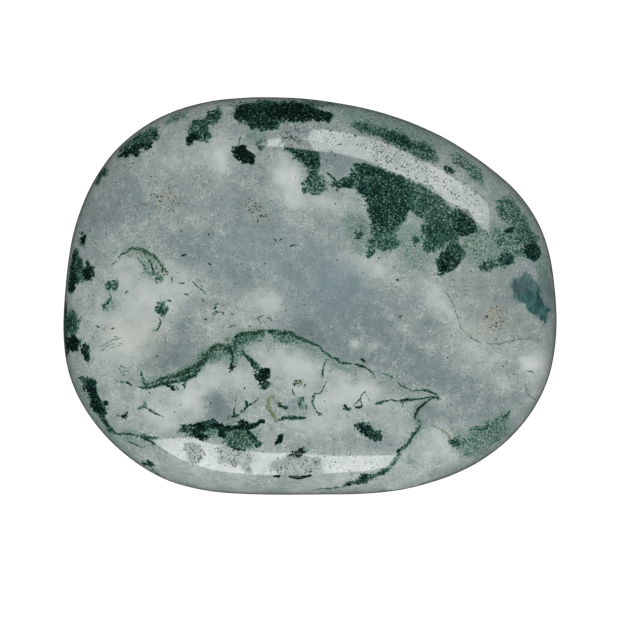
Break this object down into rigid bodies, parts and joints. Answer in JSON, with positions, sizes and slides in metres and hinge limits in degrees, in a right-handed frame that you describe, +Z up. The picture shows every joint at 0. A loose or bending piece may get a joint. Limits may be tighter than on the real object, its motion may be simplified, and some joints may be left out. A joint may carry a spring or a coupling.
{
  "type": "moss agate palm stone",
  "caption": "Flat, rounded and polished moss agate palm stone, milky grey with green moss-like inclusions.",
  "frame": {"origin": "middle of the stone's box, on the surface that it rests on", "axes": "+X along the stone's length, +Y across its width, +Z up out of its broad upper face"},
  "size_m": [0.05, 0.0404, 0.014],
  "materials": {
    "polished_moss_agate": "polished, milky grey chalcedony with dark green and black moss-like inclusions"
  },
  "bodies": {
    "root": {"moss_agate_stone": "polished_moss_agate"}
  },
  "joints": []
}
